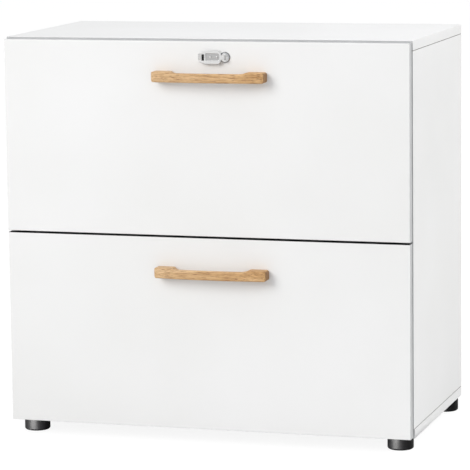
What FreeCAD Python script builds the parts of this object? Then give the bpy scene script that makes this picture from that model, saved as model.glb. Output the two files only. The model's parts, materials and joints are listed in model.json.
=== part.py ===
import FreeCAD, Part
import math
import os

os.makedirs("parts", exist_ok=True)

# A white two-drawer filing cabinet, wide enough for two rows of A4 hanging folders side
# by side, with bow handles of oak, a lock with a folding key and four adjustable feet.
#
# Modelling frame: x to the right, y from the front edges of the carcass to the back,
# z up from the underside of the bottom panel. Each piece moves to its final place when
# it is saved: there the origin is on the floor, below the middle of the whole cabinet.

V = FreeCAD.Vector
origin = V(0, 0, 0)
rightward = V(1, 0, 0)
rearward = V(0, 1, 0)
upward = V(0, 0, 1)

# Whole cabinet
cabinet_width = 800.0
carcass_height = 750.0
carcass_depth = 420.0
foot_height = 25.0

# Boards and the reveals round the drawer fronts
board = 19.0
front_board = 19.0
edge_radius = 1.0
top_reveal = 4.0
bottom_reveal = 3.0
side_reveal = 1.5
drawer_gap = 3.5
front_gap = 1.5            # carcass edge to the back of a front, filled by the bumpers
bottom_setback = 8.0       # the bottom panel's front edge lies back from the sides' edges

# Back panel, held in a groove all round
back_board = 8.0
back_inset = 12.0
groove_depth = 8.0
groove_play = 0.2

# Corner fittings: a cam in the side panel draws a bolt that is screwed into the other panel
fitting_front = 50.0
fitting_rear = 70.0
cam_radius = 7.5
cam_depth = 12.5
cam_setback = 24.0
cam_slot = 7.6
cam_recess = 2.0
cam_recess_width = 1.6
bolt_thread = 11.0
bolt_radius = 3.2
bolt_neck_radius = 1.9
bolt_head = 3.0
dowel_radius = 4.0
dowel_in_face = 11.0
dowel_in_edge = 20.0
dowel_pitch = 32.0
disc_sides = 12            # flat sides of the wider fittings
seat_play = 0.1            # round a fitting in its bore
bore_spare = 1.0           # bore deeper than what it takes

# Three-part runners: the section is that of a ball-bearing runner 45 mm high
runner_height = 45.5
runner_width = 12.7
runner_length = 350.0
runner_inset = 3.0         # from the carcass's front edge
runner_rise = 70.0         # runner axis above the bottom of the drawer box
cabinet_rail_wall = 1.2
cabinet_rail_reach = 9.5
cabinet_rail_lip = 0.9
middle_rail_wall = 1.2
middle_rail_height = 36.6
middle_rail_start = 2.6
middle_rail_reach = 8.0
drawer_rail_wall = 1.2
drawer_rail_height = 27.6
drawer_rail_reach = 7.7
rail_bend = 0.8
cage_length = 120.0
cage_start = 110.0         # behind the runner's front end
cage_play = 0.3
cage_web = 0.6
outer_cage_web_at = 1.6
outer_cage_reach = 6.2
inner_cage_web_at = 4.1
inner_cage_reach = 5.6

# Drawer boxes of folded steel sheet
sheet = 1.2
box_lift = 31.0            # above the lower edge of the drawer's front
box_headroom = 76.75       # below the upper edge of the drawer's front
box_depth = 380.0
box_bottom = 8.0
bottom_play = 0.5
bottom_flange = 14.0
top_flange = 10.0
top_hem = 8.0
end_flange = 16.0
sheet_bend = 1.6
crossbar_height = 36.0
crossbar_depth = 12.0
crossbar_hem = 6.0
box_play = 0.2             # between pieces of sheet that are joined
back_top_flange = 10.0

# Rails for the hooks of hanging folders
folder_span = 330.0        # between the outer faces of the two rails of one row
row_gap = 30.0             # between two rows
file_rail_wall = 3.0
file_rail_height = 16.0
file_rail_drop = 3.0       # below the top of the box
rail_tenon = 4.0
rail_tenon_height = 9.0
rail_slot_play = 0.3

# Oak bow handles
handle_length = 222.0
handle_reach = 30.0
handle_end_reach = 23.0
handle_height = 20.0
handle_foot = 36.0
handle_slope = 13.0
handle_grip = 11.5
handle_waist = 2.2
handle_block = 34.0        # flat length of the top edge at each end
handle_step = 9.0          # from the flat down to the waist
handle_corner = 4.5
handle_end_round = 6.0     # upright front edges of the ends
handle_x = 15.2
handle_drop = 66.0         # below the upper edge of the drawer front
handle_screw_length = 12.0

# Lock in the upper front, and its folding key
lock_x = 45.0
lock_drop = 29.5           # below the upper edge of the front
rosette_radius = 10.3
rosette = 2.0
barrel_radius = 8.5
barrel_tail = 5.0          # behind the carcass's front plane
nut_radius = 12.6
nut_thickness = 4.0
rotor_radius = 5.4
rotor_play = 0.08
rotor_face = 0.6           # recess of the rotor's face in the rosette
tail_radius = 4.0
tail_length = 4.0
cam_plate = 2.5
cam_width = 10.0
cam_reach = 12.5
keyway_width = 2.2
keyway_height = 7.0
blade_width = 2.0
blade_height = 6.6
blade_length = 17.0
fork_radius = 6.6
fork_back = 1.2
fork_stand_off = 0.5
fork_slot = 8.4
pivot_stand_off = 6.0      # pivot of the folding bow, in front of the drawer front
bow_thickness = 4.0
bow_play = 0.3
pin_radius = 1.0
pin_play = 0.05
bow_neck_height = 7.8
bow_start = 5.8            # from the pivot to the near end of the bow's body
bow_length = 33.0
bow_height = 24.7
bow_round = 9.0
bow_corner = 2.0
bow_pocket_length = 26.5
bow_pocket_height = 13.5
bow_pocket_round = 4.5
bow_pocket_rise = 1.0
bow_pocket_depth = 1.0
bow_boss_radius = 1.8
bow_boss_places_share = (0.19, 0.66)
eye_length = 11.4
eye_height = 21.7
eye_round = 6.0
eye_wall = 1.5
eye_root = 0.4             # from the bow's body to the window in the eye
eye_window_height = 12.0
insert_length = 4.0
insert_height = 11.0
insert_proud = 0.6

# Keeper under the top panel, which the lock's cam turns up behind
keeper_sheet = 1.5
keeper_width = 30.0
keeper_depth = 28.0
keeper_gap = 1.0           # between its lip and the cam
keeper_lip = 9.2
keeper_screw_share = 2 / 3 # of the flange's depth, from the lip

# Feet
foot_inset_x = 33.0
rear_foot_inset_x = 25.5
foot_inset_y = 31.0
foot_radius = 25.0
foot_top_radius = 23.0
foot_round = 3.5
foot_crown = 2.5
pad_sides = 36             # flat sides of each pad
stem_radius = 4.9
thread_play = 0.06
stem_in_pad = 13.0
stem_rise = 17.0
stem_slot = 1.4
stem_slot_depth = 2.0
socket_radius = 7.5
socket_length = 15.0
tool_hole_radius = 5.5

# Screws
screw_radius = 1.9
wood_screw_head = 3.6
wood_screw_head_height = 1.0
wood_screw_length = 14.0
pan_head_radius = 4.0
pan_head_height = 2.2
pan_screw_length = 12.0
screw_hole_play = 0.1

# Bumpers on the back of the fronts
bumper_radius = 4.5
bumper_inset = 9.0

# One overrun for every cut that has to break through a face
overrun = 2.0

# Places that follow from the sizes above
half_width = cabinet_width / 2
inner_half = half_width - board
front_back = -front_gap
front_face = -front_gap - front_board
front_height = (carcass_height - top_reveal - bottom_reveal - drawer_gap) / 2
front_half = half_width - side_reveal
front_feet = {"lower": bottom_reveal, "upper": bottom_reveal + front_height + drawer_gap}
back_face = carcass_depth - back_inset
back_front = back_face - back_board
reach = front_gap + front_board + handle_reach
finish_place = V(0, (reach - carcass_depth) / 2, foot_height)
lock_z = front_feet["upper"] + front_height - lock_drop
box_half = inner_half - runner_width
box_height = front_height - box_lift - box_headroom
row_pitch = folder_span + row_gap
row_count = max(1, int((2 * (box_half - top_flange) + row_gap) // row_pitch))


def block(x, y, z):
    """Box between two planes on each axis."""
    corner = V(min(x), min(y), min(z))
    return Part.makeBox(max(x) - min(x), max(y) - min(y), max(z) - min(z), corner)


def bar(start, end, radius):
    """Round bar from one point to another."""
    run = end - start
    return Part.makeCylinder(radius, run.Length, start, run)


def ring(centre, run, radius, sides):
    """Corners of a regular figure round a centre, square to the run."""
    first = upward if abs(run.z) < run.Length / 2 else rightward
    second = run.cross(first).normalize()
    turns = [math.tau * turn / sides for turn in range(sides)]
    return [centre + first * (radius * math.cos(turn)) + second * (radius * math.sin(turn)) for turn in turns]


def stud(start, end, radius, sides=6):
    """Bar with flat sides: small fittings that repeat have this form, to keep their faces few."""
    run = end - start
    return prism(ring(start, run, radius, sides), run)


def plate(points):
    """Flat face with the given corners."""
    return Part.Face(Part.makePolygon(points + [points[0]]))


def turned(profile, sides):
    """Round piece with flat sides, from pairs of a radius and a height, from the top down."""
    rings = [ring(V(0, 0, z), upward, radius, sides) for radius, z in profile]
    faces = [plate(rings[0]), plate(rings[-1])]
    for upper, lower in zip(rings, rings[1:]):
        for here in range(sides):
            before = here - 1
            faces.append(plate([upper[before], upper[here], lower[here], lower[before]]))
    return Part.makeSolid(Part.makeShell(faces))


def fuse(shapes):
    """One solid from touching or crossing ones, with no seams left in flat faces."""
    return shapes[0].multiFuse(shapes[1:]).removeSplitter()


def cut(shape, tools):
    """The shape without the tools."""
    return shape.cut(Part.makeCompound(tools)) if tools else shape


def mirrored(shape):
    """The same piece for the other side of the cabinet."""
    return shape.mirror(origin, rightward)


def moved(shape, x, y, z):
    """A copy of the shape, shifted."""
    copy = shape.copy()
    copy.translate(V(x, y, z))
    return copy


def prism(points, run):
    """Solid with the given corners, drawn out along a vector."""
    return plate(points).extrude(run)


def rounded(shape, radius, wanted):
    """The shape with the edges that pass the test rounded."""
    edges = [edge for edge in shape.Edges if wanted(edge)]
    return shape.makeFillet(radius, edges)


def runs_along(edge, direction):
    """True for a straight edge in this direction."""
    if edge.Curve.TypeId != "Part::GeomLine":
        return False
    return edge.Curve.Direction.cross(direction).Length < Part.Precision.confusion()


def save(name, *solids):
    """Write one node, in its final place."""
    shape = solids[0].copy() if len(solids) == 1 else Part.makeCompound(solids)
    shape.translate(finish_place)
    shape.exportStep("parts/" + name + ".step")


# Corner fittings

fitting_rows = (fitting_front, carcass_depth - fitting_rear)
corners = [(side, end, y) for side in (-1, 1) for end in (-1, 1) for y in fitting_rows]


def joint_height(end):
    """Height where the sides meet the top panel (end 1) or the bottom panel (end -1)."""
    return carcass_height - board if end > 0 else board


def cam_bolt(side, end, y):
    """Bolt from the top or bottom panel down into a cam."""
    x = side * (half_width - board / 2)
    z = joint_height(end)
    neck_z = z - end * (cam_setback - cam_radius)
    head_z = z - end * (cam_setback - cam_radius / 2)
    tip_z = head_z - end * bolt_head
    shank = stud(V(x, y, z + end * bolt_thread), V(x, y, neck_z), bolt_radius)
    neck = stud(V(x, y, neck_z), V(x, y, head_z), bolt_neck_radius)
    head = stud(V(x, y, head_z), V(x, y, tip_z), bolt_radius)
    return fuse([shank, neck, head])


def cam(side, end, y):
    """Slotted disc that hooks the bolt's head, with a slot in its face for the screwdriver."""
    face = side * inner_half
    far = face + side * cam_depth
    z = joint_height(end) - end * cam_setback
    disc = stud(V(face, y, z), V(far, y, z), cam_radius, disc_sides)
    bolt_x = side * (half_width - board / 2)
    half_slot = cam_slot / 2
    slot = block(
        (bolt_x - half_slot, bolt_x + half_slot),
        (y - half_slot, y + half_slot),
        (z - end * bolt_head, z + end * (cam_radius + overrun)),
    )
    recess_reach = cam_radius / 2
    half_recess = cam_recess_width / 2
    recess = block((face, face + side * cam_recess), (y - recess_reach, y + recess_reach),
                   (z - half_recess, z + half_recess))
    return cut(disc, [slot, recess])


def cam_bores(side, end, y):
    """Bores in a side panel for a cam and its bolt."""
    face = side * inner_half
    z = joint_height(end) - end * cam_setback
    pocket_start = V(face - side * overrun, y, z)
    pocket_end = V(face + side * (cam_depth + bore_spare), y, z)
    pocket = stud(pocket_start, pocket_end, cam_radius + seat_play, disc_sides)
    x = side * (half_width - board / 2)
    end_z = joint_height(end)
    bore = stud(V(x, y, end_z + end * overrun), V(x, y, z), bolt_radius + seat_play)
    return [pocket, bore]


def dowel_row(y):
    """Dowels stand towards the middle of the depth from their cams."""
    return y + dowel_pitch if y < carcass_depth / 2 else y - dowel_pitch


def dowel(side, end, y, play=0):
    """Wooden dowel across the joint."""
    x = side * (half_width - board / 2)
    z = joint_height(end)
    start = V(x, dowel_row(y), z + end * (dowel_in_face + play))
    return stud(start, V(x, dowel_row(y), z - end * (dowel_in_edge + play)), dowel_radius + play)


def panel_bores(end):
    """Bores for bolts and dowels in the top or bottom panel's inner face."""
    bores = []
    for side, at_end, y in corners:
        if at_end == end:
            x = side * (half_width - board / 2)
            z = joint_height(end)
            deep = V(x, y, z + end * (bolt_thread + bore_spare))
            bores.append(stud(deep, V(x, y, z - end * overrun), bolt_radius + seat_play))
            bores.append(dowel(side, end, y, seat_play))
    return bores


# Carcass

def groove(end):
    """Groove for the back panel in the top or bottom panel."""
    z = joint_height(end)
    slot = inner_half + groove_depth
    return block((-slot, slot), (back_front - groove_play, back_face + groove_play),
                 (z - end * overrun, z + end * groove_depth))


def top_panel():
    panel = block((-half_width, half_width), (0, carcass_depth), (joint_height(1), carcass_height))
    panel = rounded(panel, edge_radius, lambda edge: edge.CenterOfMass.z > carcass_height - edge_radius)
    holes = panel_bores(1) + [groove(1)]
    holes += [wood_screw(place, upward, screw_hole_play) for place in keeper_screw_places()]
    return cut(panel, holes)


def foot_places():
    """Centres of the four feet, by name."""
    rows = {"front": (half_width - foot_inset_x, foot_inset_y),
            "rear": (half_width - rear_foot_inset_x, carcass_depth - foot_inset_y)}
    sides = {"left": -1, "right": 1}
    return {row + "_" + side: (sides[side] * rows[row][0], rows[row][1]) for row in rows for side in sides}


def bottom_panel():
    panel = block((-half_width, half_width), (bottom_setback, carcass_depth), (0, board))
    holes = panel_bores(-1) + [groove(-1)]
    for x, y in foot_places().values():
        holes.append(stud(V(x, y, -overrun), V(x, y, socket_length), socket_radius + seat_play, disc_sides))
        holes.append(stud(V(x, y, 0), V(x, y, board + overrun), tool_hole_radius, disc_sides))
    return cut(panel, holes)


def side_panel(side):
    """Side panel between top and bottom; side is -1 on the left and 1 on the right."""
    outer = side * half_width
    inner = side * inner_half
    panel = block((inner, outer), (0, carcass_depth), (board, carcass_height - board))
    holes = [block((inner - side * overrun, inner + side * groove_depth),
                   (back_front - groove_play, back_face + groove_play),
                   (board - overrun, carcass_height - board + overrun))]
    for at_side, end, y in corners:
        if at_side == side:
            holes += cam_bores(side, end, y)
            holes.append(dowel(side, end, y, seat_play))
    outward = V(side, 0, 0)
    holes += [wood_screw(place, outward, screw_hole_play) for place in runner_screw_places(side)]
    return cut(panel, holes)


def back_panel():
    edge = groove_depth - groove_play
    width = inner_half + edge
    return block((-width, width), (back_front, back_face), (board - edge, carcass_height - board + edge))


# Screws

def wood_screw(place, direction, play=0):
    """Flush screw whose head fills the sheet that it holds, with its face at the place."""
    tip = place + direction * (wood_screw_length + play)
    head = stud(place, place + direction * wood_screw_head_height, wood_screw_head + play)
    return fuse([head, stud(place, tip, screw_radius + play)])


def pan_screw(place, direction, length, play=0):
    """Screw with a flat head that stands on the face at the place."""
    top = place - direction * pan_head_height
    tip = place + direction * (length + play)
    return fuse([stud(top, place, pan_head_radius), stud(place, tip, screw_radius + play)])


def runner_z(drawer):
    return front_feet[drawer] + box_lift + runner_rise


def runner_screw_places(side, drawer=None):
    """Heads of the cabinet rails' screws, flush with the rail's inner face."""
    drawers = [drawer] if drawer else ["lower", "upper"]
    inset = runner_height / 2
    rows = (runner_inset + inset, runner_inset + runner_length - inset)
    x = side * (inner_half - cabinet_rail_wall)
    return [V(x, y, runner_z(name)) for name in drawers for y in rows]


# Runners: each section is drawn across x and z and drawn out along the depth

def channel(web, tip, half_height, wall, lip=0):
    """C-shaped section: web and tip are distances from the side panel's face."""
    toward = 1 if tip > web else -1
    inner = half_height - wall
    points = [(web, -half_height), (tip, -half_height)]
    if lip:
        points += [(tip, -inner + lip), (tip - toward * wall, -inner + lip)]
        points += [(tip - toward * wall, -inner)]
    else:
        points += [(tip, -inner)]
    points += [(web + toward * wall, -inner)]
    return points + [(u, -w) for u, w in reversed(points)]


def runner_piece(points, start, length):
    """Right-hand piece of a runner at height 0; the left one is its mirror image."""
    corners_3d = [V(inner_half - u, start, w) for u, w in points]
    return prism(corners_3d, V(0, length, 0))


def cabinet_rail(drawer):
    section = channel(0, cabinet_rail_reach, runner_height / 2, cabinet_rail_wall, cabinet_rail_lip)
    rail = runner_piece(section, runner_inset, runner_length)
    rail = rounded(rail, rail_bend, lambda edge: runs_along(edge, rearward)
                   and edge.CenterOfMass.x > inner_half - cabinet_rail_wall / 2
                   and abs(abs(edge.CenterOfMass.z) - runner_height / 2) < edge_radius / 2)
    rail = moved(rail, 0, 0, runner_z(drawer))
    return cut(rail, [wood_screw(place, rightward, screw_hole_play)
                      for place in runner_screw_places(1, drawer)])


def middle_rail():
    reach_to = middle_rail_start + middle_rail_reach
    section = channel(middle_rail_start, reach_to, middle_rail_height / 2, middle_rail_wall)
    rail = runner_piece(section, runner_inset, runner_length)
    return rounded(rail, rail_bend, lambda edge: runs_along(edge, rearward)
                   and abs(edge.CenterOfMass.x - inner_half + middle_rail_start) < edge_radius / 2
                   and abs(abs(edge.CenterOfMass.z) - middle_rail_height / 2) < edge_radius / 2)


def drawer_rail():
    reach_to = runner_width - drawer_rail_reach
    section = channel(runner_width, reach_to, drawer_rail_height / 2, drawer_rail_wall)
    rail = runner_piece(section, runner_inset, runner_length)
    return rounded(rail, rail_bend, lambda edge: runs_along(edge, rearward)
                   and abs(edge.CenterOfMass.x - inner_half + runner_width) < edge_radius / 2
                   and abs(abs(edge.CenterOfMass.z) - drawer_rail_height / 2) < edge_radius / 2)


def ball_cage(web_at, cage_reach, race_outside, race_inside):
    """Retainer of the balls: a web between the rails, with a strip in the upper and the lower race."""
    outside = race_outside - cage_play
    inside = race_inside + cage_play
    strip_end = web_at + cage_reach
    section = [(web_at, -outside), (strip_end, -outside), (strip_end, -inside), (web_at + cage_web, -inside)]
    section += [(u, -w) for u, w in reversed(section)]
    return runner_piece(section, runner_inset + cage_start, cage_length)


def runner_pieces(drawer):
    """Middle rails, both kinds of ball cage and drawer rails of one drawer."""
    z = runner_z(drawer)
    outer_race = runner_height / 2 - cabinet_rail_wall
    middle_outside = middle_rail_height / 2
    middle_inside = middle_outside - middle_rail_wall
    outer = ball_cage(outer_cage_web_at, outer_cage_reach, outer_race, middle_outside)
    inner = ball_cage(inner_cage_web_at, inner_cage_reach, middle_inside, drawer_rail_height / 2)
    pieces = {"middle_rails": middle_rail(), "outer_ball_cages": outer,
              "inner_ball_cages": inner, "drawer_rails": drawer_rail()}
    for name, shape in pieces.items():
        right = moved(shape, 0, 0, z)
        save(drawer + "_" + name, mirrored(right), right)


# Drawers

def front_panel(drawer):
    z = front_feet[drawer]
    panel = block((-front_half, front_half), (front_face, front_back), (z, z + front_height))
    panel = rounded(panel, edge_radius, lambda edge: edge.CenterOfMass.y < front_face + edge_radius)
    holes = [pan_screw(place, -rearward, pan_screw_length, screw_hole_play)
             for place in box_screw_places(drawer)]
    holes += [stud(V(x, front_back + overrun, z_at), V(x, front_face - overrun, z_at),
                   screw_radius + screw_hole_play) for x, z_at in handle_screw_places(drawer)]
    if drawer == "upper":
        holes.append(bar(V(lock_x, front_back + overrun, lock_z), V(lock_x, front_face - overrun, lock_z),
                         barrel_radius + seat_play))
    return cut(panel, holes)


def box_foot(drawer):
    return front_feet[drawer] + box_lift


def box_screw_places(drawer):
    """Screws through the front flanges of both drawer sides, into the front."""
    foot = box_foot(drawer)
    inset = end_flange + sheet
    heights = (foot + inset, foot + box_height - crossbar_height - inset)
    x = box_half - end_flange / 2
    return [V(side * x, front_back + sheet, z) for side in (-1, 1) for z in heights]


def drawer_side(drawer):
    """Right side of folded sheet: wall, bottom and top flanges with a hem, and end flanges."""
    foot = box_foot(drawer)
    head = foot + box_height
    wall_in = box_half - sheet
    outline = [(box_half, foot), (box_half, head), (box_half - top_flange, head),
               (box_half - top_flange, head - top_hem), (box_half - top_flange + sheet, head - top_hem),
               (box_half - top_flange + sheet, head - sheet), (wall_in, head - sheet),
               (wall_in, foot + sheet), (box_half - bottom_flange, foot + sheet),
               (box_half - bottom_flange, foot)]
    section = [V(x, front_back, z) for x, z in outline]
    side = prism(section, V(0, box_depth, 0))
    side = rounded(side, sheet_bend, lambda edge: runs_along(edge, rearward)
                   and abs(edge.CenterOfMass.x - box_half) < sheet / 2)
    flange_x = (box_half - end_flange, wall_in + sheet / 2)
    flange_z = (foot + sheet / 2, head - crossbar_height - box_play)
    front_flange = block(flange_x, (front_back, front_back + sheet), flange_z)
    rear = front_back + box_depth
    rear_flange = block(flange_x, (rear - sheet, rear), (foot + sheet / 2, head - top_hem - box_play))
    holes = [pan_screw(place, -rearward, pan_screw_length, screw_hole_play)
             for place in box_screw_places(drawer) if place.x > 0]
    return cut(fuse([side, front_flange, rear_flange]), holes)


def drawer_back(drawer):
    """Sheet between the sides, folded back at its top, with slots for the folder rails."""
    foot = box_foot(drawer)
    head = foot + box_height
    half = box_half - sheet - box_play
    top_half = box_half - top_flange - box_play
    rear = front_back + box_depth - sheet
    wall = block((-half, half), (rear - sheet, rear), (foot + sheet, head - top_hem - box_play))
    rise = block((-top_half, top_half), (rear - sheet, rear), (foot + sheet, head))
    fold = block((-top_half, top_half), (rear - sheet, rear + back_top_flange), (head - sheet, head))
    return cut(fuse([wall, rise, fold]), rail_slots(drawer, rear - sheet / 2))


def drawer_bottom(drawer):
    """Board that lies on the bottom flanges of the sides."""
    foot = box_foot(drawer) + sheet
    half = box_half - sheet - bottom_play
    near = front_back + sheet + bottom_play
    far = front_back + box_depth - sheet - sheet - bottom_play
    return block((-half, half), (near, far), (foot, foot + box_bottom))


def front_crossbar(drawer):
    """Channel across the front of the box, open towards the front, with slots for the rails."""
    head = box_foot(drawer) + box_height
    half = box_half - top_flange - box_play
    far = front_back + crossbar_depth
    outline = [(front_back, head), (far, head), (far, head - crossbar_height),
               (front_back, head - crossbar_height), (front_back, head - crossbar_height + crossbar_hem),
               (front_back + sheet, head - crossbar_height + crossbar_hem),
               (front_back + sheet, head - crossbar_height + sheet),
               (far - sheet, head - crossbar_height + sheet), (far - sheet, head - sheet),
               (front_back + sheet, head - sheet), (front_back + sheet, head - crossbar_hem),
               (front_back, head - crossbar_hem)]
    section = [V(-half, y, z) for y, z in outline]
    crossbar = prism(section, V(half + half, 0, 0))
    ears = [block((side * (half - sheet), side * (box_half - sheet)),
                  (front_back, front_back + sheet),
                  (head - crossbar_height, head - top_hem - box_play)) for side in (-1, 1)]
    return cut(fuse([crossbar] + ears), rail_slots(drawer, far - sheet / 2))


def rail_middles():
    """x of the middle of each folder rail, from left to right."""
    reach_to = (folder_span - file_rail_wall) / 2
    centres = [(row - (row_count - 1) / 2) * row_pitch for row in range(row_count)]
    return [centre + side * reach_to for centre in centres for side in (-1, 1)]


def tenon_z(drawer):
    """Lower and upper edge of the folder rails' tenons."""
    middle = box_foot(drawer) + box_height - file_rail_drop - file_rail_height / 2
    return (middle - rail_tenon_height / 2, middle + rail_tenon_height / 2)


def rail_slots(drawer, y):
    """Slots through a sheet that the tenons of the folder rails pass."""
    low, high = tenon_z(drawer)
    wide = file_rail_wall / 2 + rail_slot_play
    return [block((x - wide, x + wide), (y - sheet, y + sheet), (low - box_play, high + box_play))
            for x in rail_middles()]


def file_rails(drawer):
    """Two upright bars for each row, from the crossbar to the back, with a tenon at each end."""
    top = box_foot(drawer) + box_height - file_rail_drop
    near = front_back + crossbar_depth + box_play
    far = front_back + box_depth - sheet - sheet - box_play
    rails = []
    for x in rail_middles():
        wide = (x - file_rail_wall / 2, x + file_rail_wall / 2)
        body = block(wide, (near, far), (top - file_rail_height, top))
        tenons = block(wide, (near - rail_tenon, far + rail_tenon), tenon_z(drawer))
        rails.append(fuse([body, tenons]))
    return rails


def bumpers(drawer):
    """Soft pads at the corners of the front, which meet the edges of the carcass."""
    z = front_feet[drawer]
    heights = (z + bumper_inset + board / 2, z + front_height - bumper_inset - board / 2)
    x = half_width - board / 2
    return [stud(V(side * x, front_back, z_at), V(side * x, 0, z_at), bumper_radius)
            for side in (-1, 1) for z_at in heights]


# Handles

def handle_z(drawer):
    return front_feet[drawer] + front_height - handle_drop


def handle_screw_places(drawer):
    """x and z of the two screws, in the middle of the handle's feet."""
    offset = handle_length / 2 - handle_foot / 2
    return [(handle_x + side * offset, handle_z(drawer)) for side in (-1, 1)]


def handle_plan():
    """The bow seen from above, at z 0 and y 0 on the drawer front."""
    half = handle_length / 2
    foot_in = half - handle_foot
    slope_in = foot_in - handle_slope
    inside = handle_reach - handle_grip
    slope_y = -inside * (1 - handle_slope / half)
    end_y = -handle_end_reach
    front = Part.Arc(V(-half, end_y, 0), V(0, -handle_reach, 0), V(half, end_y, 0)).toShape()
    right = Part.makePolygon([V(half, end_y, 0), V(half, 0, 0), V(foot_in, 0, 0), V(slope_in, slope_y, 0)])
    inner = Part.Arc(V(slope_in, slope_y, 0), V(0, -inside, 0), V(-slope_in, slope_y, 0)).toShape()
    left = Part.makePolygon([V(-slope_in, slope_y, 0), V(-foot_in, 0, 0), V(-half, 0, 0), V(-half, end_y, 0)])
    return Part.Wire([front] + right.Edges + [inner] + left.Edges)


def handle_elevation():
    """The bow seen from the front, at y 0: its top edge dips between the two feet."""
    half = handle_length / 2
    flat_in = half - handle_block
    waist_in = flat_in - handle_step
    low = -handle_height / 2
    high = handle_height / 2
    waist = high - handle_waist
    return Part.makePolygon([V(waist_in, 0, waist), V(flat_in, 0, high), V(half, 0, high), V(half, 0, low),
                             V(-half, 0, low), V(-half, 0, high), V(-flat_in, 0, high),
                             V(-waist_in, 0, waist), V(waist_in, 0, waist)])


def handle(drawer):
    """Bow of oak: the plan and the front view cut out of one block."""
    low = V(0, 0, -handle_height)
    plan = Part.Face(handle_plan())
    plan.translate(low)
    plan = plan.extrude(V(0, 0, handle_height + handle_height))
    plan = rounded(plan, handle_end_round, lambda edge: runs_along(edge, upward)
                   and abs(abs(edge.CenterOfMass.x) - handle_length / 2) < edge_radius
                   and abs(edge.CenterOfMass.y + handle_end_reach) < edge_radius)
    view = Part.Face(handle_elevation())
    view.translate(V(0, overrun, 0))
    view = view.extrude(V(0, -handle_reach - overrun - overrun, 0))
    ends = rounded(view, handle_corner, lambda edge: runs_along(edge, rearward)
                   and abs(abs(edge.CenterOfMass.x) - handle_length / 2) < edge_radius)
    bow = plan.common(ends)
    bow.translate(V(handle_x, front_face, handle_z(drawer)))
    holes = [stud(V(x, front_face + overrun, z), V(x, front_face - handle_screw_length - bore_spare, z),
                  screw_radius + screw_hole_play) for x, z in handle_screw_places(drawer)]
    return cut(bow, holes)


def handle_screws(drawer):
    """Screws from behind, through the front and into the handle."""
    length = front_board + handle_screw_length
    return [pan_screw(V(x, front_back, z), -rearward, length) for x, z in handle_screw_places(drawer)]


def save_drawer(drawer):
    side = drawer_side(drawer)
    save(drawer + "_drawer_front", front_panel(drawer))
    save(drawer + "_drawer_left_side", mirrored(side))
    save(drawer + "_drawer_right_side", side)
    save(drawer + "_drawer_back", drawer_back(drawer))
    save(drawer + "_drawer_bottom", drawer_bottom(drawer))
    save(drawer + "_drawer_crossbar", front_crossbar(drawer))
    save(drawer + "_drawer_screws", *[pan_screw(place, -rearward, pan_screw_length)
                                      for place in box_screw_places(drawer)])
    save(drawer + "_file_rails", *file_rails(drawer))
    save(drawer + "_front_bumpers", *bumpers(drawer))
    save(drawer + "_handle", handle(drawer))
    save(drawer + "_handle_screws", *handle_screws(drawer))


# Lock, in places along y on the lock's axis

rosette_face = front_face - rosette
rotor_front = rosette_face + rotor_face
rotor_rear = barrel_tail
tail_rear = rotor_rear + tail_length
cam_rear = tail_rear + cam_plate
pivot_y = front_face - pivot_stand_off


def on_axis(y, x=0, z=0):
    """Point at this y, with offsets from the lock's axis."""
    return V(lock_x + x, y, lock_z + z)


def lock_housing():
    """Rosette and barrel in one piece, bored for the cylinder."""
    rim = bar(on_axis(front_face), on_axis(rosette_face), rosette_radius)
    barrel = bar(on_axis(rosette_face), on_axis(rotor_rear), barrel_radius)
    bore = bar(on_axis(rosette_face - overrun), on_axis(rotor_rear + overrun), rotor_radius + rotor_play)
    return cut(fuse([rim, barrel]), [bore])


def lock_nut():
    """Nut on the barrel, behind the drawer front."""
    nut = stud(on_axis(front_back), on_axis(front_back + nut_thickness), nut_radius)
    hole = bar(on_axis(front_back - overrun), on_axis(front_back + nut_thickness + overrun),
               barrel_radius + seat_play)
    return cut(nut, [hole])


def lock_cylinder():
    """Turning core with its keyway, and a square tail for the cam."""
    core = bar(on_axis(rotor_front), on_axis(rotor_rear), rotor_radius)
    tail = block((lock_x - tail_half(), lock_x + tail_half()), (rotor_rear, tail_rear),
                 (lock_z - tail_half(), lock_z + tail_half()))
    keyway = block((lock_x - keyway_height / 2, lock_x + keyway_height / 2),
                   (rotor_front - overrun, rosette_face + blade_length + bore_spare),
                   (lock_z - keyway_width / 2, lock_z + keyway_width / 2))
    screw_bore = stud(on_axis(tail_rear + overrun), on_axis(rotor_rear), screw_radius + screw_hole_play)
    return cut(fuse([core, tail]), [keyway, screw_bore])


def tail_half():
    """Half the side of the square tail that fits inside its round."""
    return tail_radius / math.sqrt(2)


def lock_cam():
    """Short arm on the tail's end: it lies to the left, and turns up to lock."""
    hub = stud(on_axis(tail_rear), on_axis(cam_rear), cam_width / 2, disc_sides)
    arm = block((lock_x - cam_reach, lock_x), (tail_rear, cam_rear),
                (lock_z - cam_width / 2, lock_z + cam_width / 2))
    arm = rounded(arm, cam_width / 3, lambda edge: runs_along(edge, rearward)
                  and edge.CenterOfMass.x < lock_x - cam_width / 2)
    hole = stud(on_axis(tail_rear - overrun), on_axis(cam_rear + overrun), screw_radius + screw_hole_play)
    return cut(fuse([hub, arm]), [hole])


def cam_screw():
    """Screw that holds the cam on the cylinder's tail."""
    return pan_screw(on_axis(cam_rear), -rearward, cam_plate + tail_length - bore_spare)


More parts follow.
